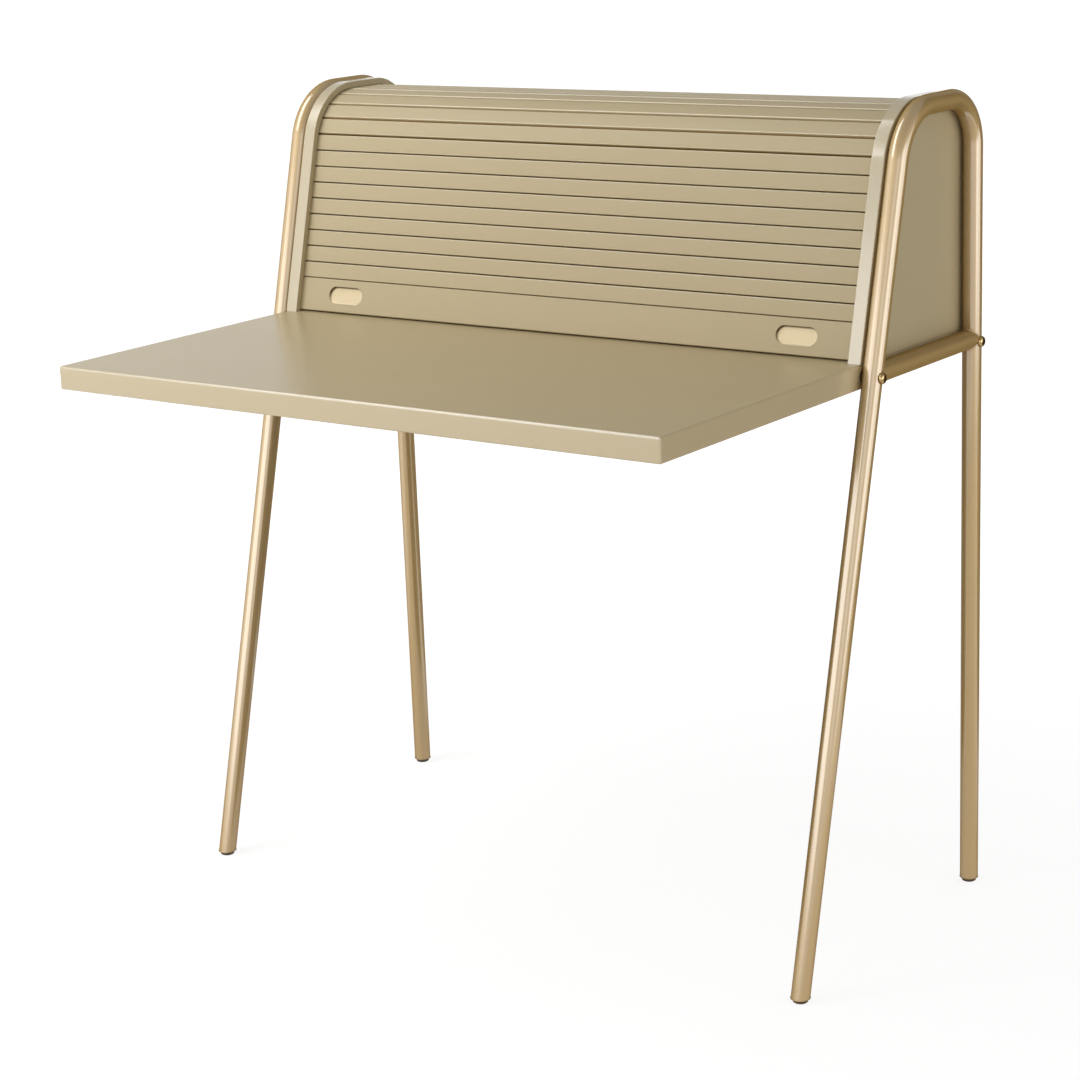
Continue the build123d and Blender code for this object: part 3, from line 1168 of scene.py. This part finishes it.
@dataclass
class Curtain:
    """The tambour curtain: slats on canvas, led by the rail with its pulls.

    Attributes:
        edge_round: Rounding of a slat's outer edges.
        face_inset: Distance by which each side of a slat leans in towards its face.
        back_round: Easing of its edges at the canvas.
        strip_round: Easing of the canvas's edges, as a share of its thickness.
        samples: Points on each rounded edge of a slat.
        strip_samples: Points on each eased edge of the canvas.
    """

    edge_round: float = 1.3 * MM
    face_inset: float = 0.6 * MM
    back_round: float = 0.25 * MM
    strip_round: float = 0.1
    samples: int = 7
    strip_samples: int = 3

    def slat(self, node: str, wood: bpy.types.Material, canvas: bpy.types.Material) -> None:
        """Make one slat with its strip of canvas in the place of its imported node.

        The strip's end corners give the slat's width direction, the longest axis of their spread, and
        the slat's own points give which way is out. The section, a rectangle with round outer corners
        that narrows evenly towards its face, is carried along X.

        Args:
            node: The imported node.
            wood: Finish of the slat.
            canvas: Finish of the strip.
        """
        points = node_points(node)
        half = np.abs(points[:, 0]).max()
        inner = np.abs(points[:, 0]) < half - MM
        strip = np.unique(np.round(points[inner, 1:], 6), axis=0)
        strip_half = np.abs(points[inner, 0]).max()
        middle = strip.mean(axis=0)
        along = np.linalg.svd(strip - middle)[2][0]
        out = np.array([-along[1], along[0]])
        out *= np.sign((points[~inner, 1:].mean(axis=0) - middle) @ out)
        width = np.ptp(strip @ along)
        thin = np.ptp(strip @ out)
        thick = ((points[~inner, 1:] - middle) @ out).max() - thin / 2
        wood_loop = rounded_rectangle(width, thick, self.back_round, self.edge_round, self.samples)
        wood_loop[:, 0] *= 1 - 2 * self.face_inset / width * wood_loop[:, 1] / thick
        eased = self.strip_round * thin
        strip_loop = rounded_rectangle(width, thin, eased, eased, self.strip_samples) - (0.0, thin)
        # Marks: a painted highlight on the face's rounded edges, and painted shade at the back corners in
        # the grooves.
        swell = np.sin(np.linspace(0.0, math.pi, self.samples))
        groove = np.full(self.samples, -1.0)
        highlight_and_groove_marks = np.concatenate([groove, swell, swell, groove])
        bars = []
        layers = ((wood_loop, half, highlight_and_groove_marks, wood), (strip_loop, strip_half, None, canvas))
        for loop, reach, marks, finish in layers:
            section = middle + (loop[:, :1] * along + (loop[:, 1:] + thin / 2) * out)
            bars.append((self.bar(section, reach, marks), finish))
        made = Piece(f"curtain_{node}", self.body(node), "khaki_lacquer", bars).build()
        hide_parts(node)

    @staticmethod
    def bar(section: np.ndarray, half: float, marks: np.ndarray | None) -> Surface:
        """A section in Y and Z, with its points' marks, carried along X from -half to half.

        Args:
            section: Array of Y and Z.
            half: Half of the length along X.
            marks: A mark for each point of the section.

        Returns:
            The closed surface.
        """
        x = np.array([-half, half])[:, None, None]
        rows = np.broadcast_to(section, (2, *section.shape))
        points = np.concatenate([np.broadcast_to(x, (2, len(section), 1)), rows], axis=-1)
        return Surface(points, marks=marks)

    @staticmethod
    def body(node: str) -> str:
        """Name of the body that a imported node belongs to."""
        bodies = frame["record"]["behaviour"]["bodies"]
        return next(name for name, members in bodies.items() if node in members)

    def build(self, finishes: dict[str, bpy.types.Material]) -> None:
        """Make every slat, and dress the rail and its pulls.

        Args:
            finishes: Materials by their short names.
        """
        for node in sorted(name for name in frame["nodes"] if name.startswith("slat_")):
            self.slat(node, finishes["slat"], finishes["canvas"])
        dress_nodes(finishes["slat"], "lead_rail")
        for side in Side:
            FingerPull(side).build(finishes["pull"], finishes["slat"])


@dataclass
class FingerPull:
    """A scooped dish let flush into the rail, deepest under its upper edge, with a lacquered rim.

    Attributes:
        side: Which of the rail's two pulls.
        rim: Width of the flat rim round the scoop.
        end_rim: How much wider the rim is at each end.
        low_depth: Depth of the scoop towards its lower edge.
        high_depth: Depth towards its upper edge.
        low_wall: Width over which the scoop falls from its lower edge.
        high_wall: Width over which it falls from its upper edge.
        lip: Width of the painted shade inside the edge.
        lip_degrees: Direction where the painted shade is fullest, from +X towards the upper edge.
        lip_spread: How far the painted shade goes round from there, as a value added to the cosine.
        lip_full: Strength of the painted shade at the edge, where 1 is full.
        columns: Points on each half round of the outline.
        rows: Rows across the scoop.
        row_power: How much closer the rows are at the edge.
        last_row: Place of the last row, as a share of the way to the middle line.
    """

    side: Side
    rim: float = 1.2 * MM
    end_rim: float = 1.4 * MM
    low_depth: float = 1.2 * MM
    high_depth: float = 4.2 * MM
    low_wall: float = 3.0 * MM
    high_wall: float = 0.7 * MM
    lip: float = 2.0 * MM
    lip_degrees: float = 115.0
    lip_spread: float = 0.35
    lip_full: float = 1.3
    columns: int = 40
    rows: int = 24
    row_power: float = 1.5
    last_row: float = 0.98

    def __post_init__(self) -> None:
        """Read the cup's place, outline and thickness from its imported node."""
        points = node_points(self.side.node("pull_cup"))
        flat = points[:, 1:]
        up = np.linalg.svd(flat - flat.mean(axis=0), full_matrices=False)[2][0]
        self.up = up * np.sign(up[1])
        self.out = np.array([-self.up[1], self.up[0]])
        rise, reach = flat @ self.up, flat @ self.out
        self.centre_x = (points[:, 0].max() + points[:, 0].min()) / 2
        self.radius = np.ptp(rise) / 2
        self.run = np.ptp(points[:, 0]) / 2 - self.radius
        self.thick = np.ptp(reach)
        self.face = (rise.max() + rise.min()) / 2 * self.up + reach.max() * self.out
        half = np.linspace(-math.pi / 2, math.pi / 2, self.columns)
        self.turn = np.concatenate([half, half + math.pi])

    def loops(self, insets: np.ndarray, depth: np.ndarray) -> np.ndarray:
        """Loops of the outline: two half circles of radius R about points that lie apart along the rail.

        Args:
            insets: Distance of each loop inside the outline; its radius is R less this.
            depth: Depth below the rail's face, for each loop or for each point of each loop.

        Returns:
            Array of loops, points and X, Y, Z.
        """
        radii = (self.radius - insets)[:, None]
        run = self.run - self.end_rim * np.clip(insets / self.rim, 0.0, 1.0)
        ends = run[:, None] * np.repeat([1.0, -1.0], self.columns)
        x = self.centre_x + ends + radii * np.cos(self.turn)
        rise = (radii * np.sin(self.turn))[..., None] * self.up
        yz = self.face + rise - np.broadcast_to(depth, x.shape)[..., None] * self.out
        return np.concatenate([x[..., None], yz], axis=-1)

    def collar(self) -> Surface:
        """The rim from the face to the back: its square section carried round the outline.

        Returns:
            The closed ring.
        """
        insets = np.array([0.0, self.rim, self.rim, 0.0])
        depth = np.array([0.0, 0.0, self.thick, self.thick])[:, None]
        return Surface(self.loops(insets, depth).transpose(1, 0, 2), ring=True)

    def dish(self) -> Surface:
        """The dish inside the rim, from its back round its edge and into the scoop.

        At the inset s inside the rim the depth is d * (1 - (1 - s / w) ** 2), up to s = w, where d and w
        run from their low to their high values with the height in the outline.

        Returns:
            The closed surface, with the painted shade inside its lip marked.
        """
        inside = (self.radius - self.rim) * np.linspace(0.0, self.last_row, self.rows) ** self.row_power
        inside = np.concatenate([[0.0], inside])
        share = (1 - (inside[:, None] + self.rim) / self.radius) * np.sin(self.turn) / 2 + 0.5
        deep = self.low_depth + (self.high_depth - self.low_depth) * share
        wall = self.low_wall + (self.high_wall - self.low_wall) * (np.sin(self.turn) + 1) / 2
        depth = deep * (1 - (1 - np.clip(inside[:, None] / wall, 0.0, 1.0)) ** 2)
        depth[0] = self.thick
        # Painted shade inside the lip: fullest towards the upper left, fading inwards.
        shade = np.clip(self.lip_spread + np.cos(self.turn - math.radians(self.lip_degrees)), 0.0, 1.0)
        lip_shade = shade * np.clip(self.lip_full - inside[:, None] / self.lip, 0.0, 1.0)
        return Surface(self.loops(self.rim + inside, depth), marks=lip_shade)

    def build(self, metal: bpy.types.Material, lacquer: bpy.types.Material) -> None:
        """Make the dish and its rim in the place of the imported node.

        Args:
            metal: Finish of the dish.
            lacquer: Finish of the rim.
        """
        node = self.side.node("pull_cup")
        name = f"finger_pull_{self.side.name.lower()}"
        parts = [(self.dish(), metal), (self.collar(), lacquer)]
        made = Piece(name, Curtain.body(node), "pull_metal", parts).build()
        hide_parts(node)


@dataclass(frozen=True)
class Softbox:
    """A large soft lamp that faces the desk.

    Attributes:
        name: Its name.
        centre: Where it stands.
        aim: The point that it faces.
        width: Its size across.
        height: Its size upwards.
        level: Brightness of its face, where white is 1.
    """

    name: str
    centre: Place
    aim: Place
    width: float
    height: float
    level: float

    def build(self) -> None:
        """Make the lamp; its power is its level times its area times pi."""
        lamp = bpy.data.lights.new(self.name, "AREA")
        lamp.shape = "RECTANGLE"
        lamp.size, lamp.size_y = self.width, self.height
        lamp.energy = self.level * self.width * self.height * math.pi
        made = new_object(self.name, lamp)
        made.location = self.centre
        way = Vector(self.aim) - Vector(self.centre)
        made.rotation_euler = way.to_track_quat("-Z", "Y").to_euler()
        made.visible_camera = False
        LOG.info("lamp %s", self.name)


def stage_card(name: str, corners: list[Place], material: bpy.types.Material) -> bpy.types.Object:
    """Make a flat card of four corners for the studio, on none of the desk's bodies.

    Args:
        name: Its name.
        corners: Its corners in order.
        material: Its material.

    Returns:
        The new object.
    """
    mesh = bpy.data.meshes.new(name)
    mesh.from_pydata(corners, [], [(0, 1, 2, 3)])
    mesh.materials.append(material)
    made = new_object(name, mesh)
    return made


@dataclass(frozen=True)
class Flag:
    """A card that only reflections see, darker than the room, so that gloss beside it stays deep.

    Attributes:
        name: Its name.
        left: Left corner of its near edge.
        right: Right corner of its near edge.
        reach: Way from the near edge to the far one.
        tone: Brightness that it shows.
        colour: Its colour.
    """

    name: str
    left: Place
    right: Place
    reach: Place
    tone: float = 0.12
    colour: Colour = (1.0, 0.92, 0.8)

    def build(self) -> None:
        """Make the card."""
        material, graph = new_material(self.name)
        dim = graph.node("Emission", Color=self.colour, Strength=self.tone)
        graph.node("OutputMaterial", Surface=dim.outputs[0])
        left, right, reach = Vector(self.left), Vector(self.right), Vector(self.reach)
        made = stage_card(self.name, [left, right, right + reach, left + reach], material)
        for ray in ("camera", "diffuse", "shadow", "transmission", "volume_scatter"):
            setattr(made, f"visible_{ray}", False)


@dataclass(frozen=True)
class PhotoCamera:
    """Camera at the photograph's place, worked out from the desk's edges in it.

    Attributes:
        place: Where it stands, in metres.
        yaw: Degrees that it turns left of +Y.
        pitch: Degrees that it looks down.
        roll: Degrees that it leans to the right.
        focal_pixels: Focal length in pixels of the photograph.
        image_pixels: Side of the square photograph.
        sensor: Width of the sensor in millimetres.
    """

    place: Place = (1.9461, -2.5915, 1.3576)
    yaw: float = 36.509
    pitch: float = 14.92
    roll: float = -2.219
    focal_pixels: float = 2587.9
    image_pixels: float = 1080.0
    sensor: float = 36.0

    def build(self) -> None:
        """Make the camera and give it to the scene."""
        yaw, pitch, roll = (math.radians(angle) for angle in (self.yaw, self.pitch, self.roll))
        level = Vector((-math.sin(yaw), math.cos(yaw), 0.0))
        ahead = math.cos(pitch) * level - math.sin(pitch) * Vector((0.0, 0.0, 1.0))
        right = Vector((math.cos(yaw), math.sin(yaw), 0.0))
        up = right.cross(ahead)
        leaned_right = math.cos(roll) * right + math.sin(roll) * up
        leaned_up = -math.sin(roll) * right + math.cos(roll) * up
        lens = bpy.data.cameras.new("photo_camera")
        lens.sensor_width = self.sensor
        lens.lens = self.sensor * self.focal_pixels / self.image_pixels
        made = new_object("photo_camera", lens)
        turned = Matrix((leaned_right, leaned_up, -ahead)).transposed().to_4x4()
        made.matrix_world = Matrix.Translation(self.place) @ turned
        bpy.context.scene.camera = made


# Each lamp's place, aim, width, height and level, and each flag's near corners, reach and tone
AIM = (0.0, 0.0, 0.7)
LAMPS = (
    Softbox("front_bank", (-1.1, -3.9, 1.3), AIM, 4.5, 1.8, 2.25),
    Softbox("front_wall", (3.0, -3.2, 1.6), AIM, 2.2, 2.0, 0.7),
    Softbox("left_wall", (-3.2, -1.4, 1.3), AIM, 3.6, 2.6, 0.3),
    Softbox("right_strip", (3.4, -0.1, 1.1), AIM, 1.5, 1.9, 2.1),
    Softbox("right_wall", (3.4, 1.7, 0.9), AIM, 1.8, 1.6, 1.5),
    Softbox("back_wall", (0.4, 3.6, 1.5), AIM, 3.0, 2.0, 1.0),
    Softbox("overhead", (-1.55, -1.0, 2.8), (-1.55, 0.6, 0.0), 1.5, 2.6, 3.7),
)
FLAGS = (
    Flag("back_flag", (0.6, 2.2, 0.0), (3.4, 2.2, 0.0), (0.0, 0.0, 3.4)),
    Flag("under_flag", (0.0, -0.36, 0.0), (0.0, 0.36, 0.0), (0.0, 0.0, 0.7)),
    Flag("floor_flag", (-1.1, 0.5, MM), (3.2, 0.5, MM), (0.0, -2.7, 0.0), 0.68),
    Flag("right_flag", (0.6, 0.8, MM), (3.4, 0.8, MM), (0.0, 1.4, 0.0)),
    Flag("rear_flag", (-3.0, 0.8, MM), (0.6, 0.8, MM), (0.0, 2.8, 0.0), 0.3),
)


@dataclass(frozen=True)
class Studio:
    """White floor, pale room, soft lamps, flags and camera round the desk.

    Attributes:
        floor_half: Half of the floor's side.
        floor_tone: Reflectance of the floor.
        floor_white: Brightness that the floor shows by itself near the desk, besides its shadows.
        white_from: Distance from the desk's middle at which the floor starts to pale.
        white_to: Distance at which it is white.
        shadow_share: Part of the floor's reflectance that its shadows are seen by.
        ambient: Brightness of the room as light.
        fall_from: Height, as a part of the view's direction, at which the room starts to darken.
        fall_to: Height at which it is darkest.
        overhead_tone: Brightness that is seen overhead, where the horizon is 1.
    """

    floor_half: float = 60.0
    floor_tone: float = 0.8
    floor_white: float = 0.86
    white_from: float = 0.7
    white_to: float = 2.6
    shadow_share: float = 0.25
    ambient: float = 0.33
    fall_from: float = 0.1
    fall_to: float = 0.6
    overhead_tone: float = 0.45

    def floor(self) -> None:
        """A level white floor that keeps a faint shadow."""
        material, graph = new_material("white_floor")
        matt = graph.node("BsdfDiffuse", Color=(self.floor_tone,) * 3)
        where = graph.node("TexCoord").outputs["Object"]
        away = graph.node("VectorMath", {"operation": "LENGTH"}, Vector=where).outputs["Value"]
        pale = graph.ramp(away, self.white_from, self.white_to, interpolation_type="SMOOTHSTEP")
        white = graph.spread(pale, self.floor_white, 1.0)
        glow = graph.node("Emission", Color=WHITE, Strength=white)
        faint = graph.node("BsdfDiffuse", Color=(self.shadow_share * self.floor_tone,) * 3)
        shown = graph.node("AddShader")
        graph.feed(shown.inputs[0], glow.outputs[0])
        graph.feed(shown.inputs[1], faint.outputs[0])
        mixed = graph.node("MixShader", Fac=self.seen(graph))
        graph.feed(mixed.inputs[1], matt.outputs[0])
        graph.feed(mixed.inputs[2], shown.outputs[0])
        graph.node("OutputMaterial", Surface=mixed.outputs[0])
        half = self.floor_half
        corners = [(-half, -half, 0), (half, -half, 0), (half, half, 0), (-half, half, 0)]
        stage_card("floor", corners, material)

    @staticmethod
    def seen(graph: Graph) -> bpy.types.NodeSocket:
        """1 for rays of the camera, of reflections and through glass, and 0 for light that spreads.

        Args:
            graph: The floor's or the room's graph.

        Returns:
            The mask.
        """
        rays = graph.node("LightPath")
        either = graph.maths("MAXIMUM", rays.outputs["Is Camera Ray"], rays.outputs["Is Glossy Ray"])
        return graph.maths("MAXIMUM", either, rays.outputs["Is Transmission Ray"])

    def room(self) -> None:
        """A room that is white at the horizon and darker overhead, and dimmer as light than as seen."""
        world = bpy.data.worlds.new("room")
        bpy.context.scene.world = world
        world.use_nodes = True
        graph = Graph(world.node_tree)
        height = graph.node("SeparateXYZ", Vector=graph.node("TexCoord").outputs["Generated"]).outputs[2]
        fall = graph.ramp(height, self.fall_from, self.fall_to, interpolation_type="SMOOTHSTEP")
        shown = graph.spread(fall, 1.0, self.overhead_tone)
        level = graph.node("Mix", {"data_type": "FLOAT"}, Factor=self.seen(graph))
        graph.feed(level.inputs[2], self.ambient)
        graph.feed(level.inputs[3], shown)
        sky = graph.node("Background", Color=WHITE, Strength=level.outputs[0])
        graph.node("OutputWorld", Surface=sky.outputs[0])

    def build(self) -> None:
        """Make the floor, the room, the lamps, the flags and the camera, with colours shown as written."""
        bpy.context.scene.view_settings.view_transform = "Standard"
        self.floor()
        self.room()
        for fitting in (*LAMPS, *FLAGS, PhotoCamera()):
            fitting.build()


def dress_fixed_nodes(finishes: dict[str, bpy.types.Material]) -> None:
    """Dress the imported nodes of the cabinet, the feet and the fasteners.

    Args:
        finishes: Materials by their short names.
    """
    dress_nodes(finishes["lacquer"], "back_panel", "inner_back")
    dress_nodes(finishes["panel"], *(side.node("side_panel") for side in Side))
    dress_nodes(finishes["bolt"], "frame_bolts")
    feet = [side.node(f"foot_{leg.value}") for side in Side for leg in Leg]
    dress_nodes(finishes["plastic"], "frame_spacers", *feet)
    dress_nodes(finishes["zinc"], "threaded_inserts", "panel_screws", "back_screws")


def main() -> None:
    """Build the desk's looks and the studio."""
    logging.basicConfig(level=logging.INFO)
    effects = Effects()
    finishes = {
        "lacquer": KhakiLacquer().build(effects),
        # The board's edges and its front rounding get a painted highlight.
        "board": KhakiLacquer(
            name="khaki_lacquer_board",
            edges=Edges.BESIDE_Z_FACES,
            painted_edge_highlight=linear(193, 174, 134),
            edge_roughness=0.24,
            painted_round_highlight=linear(206, 192, 162),
        ).build(effects),
        # The panels' rims get a painted highlight.
        "panel": KhakiLacquer(
            name="khaki_lacquer_panel",
            edges=Edges.BESIDE_X_FACES,
            edge_ior=1.85,
        ).build(effects),
        # The slats' rounded edges get a painted highlight, and their grooves get painted shade.
        "slat": KhakiLacquer(
            name="khaki_lacquer_on_wood",
            roughness=0.52,
            grain_depth=0.5,
            edges=Edges.MARKED_POINTS,
            painted_edge_highlight=linear(200, 186, 152),
        ).build(effects),
        "gold": GoldMetal().build(effects),
        "bolt": GoldMetal(name="gold_bolt_plate", roughness=0.24, coat=0.4).build(effects),
        "pull": PullMetal().build(effects),
        "plastic": GlidePlastic().build(effects),
        "zinc": ZincSteel().build(effects),
        "canvas": CanvasCloth().build(effects),
    }
    dress_fixed_nodes(finishes)
    DeskBoard().build(finishes["board"])
    for side in Side:
        SideFrame(side).build(finishes["gold"])
    Curtain().build(finishes)
    Studio().build()


if __name__ == "__main__":
    main()
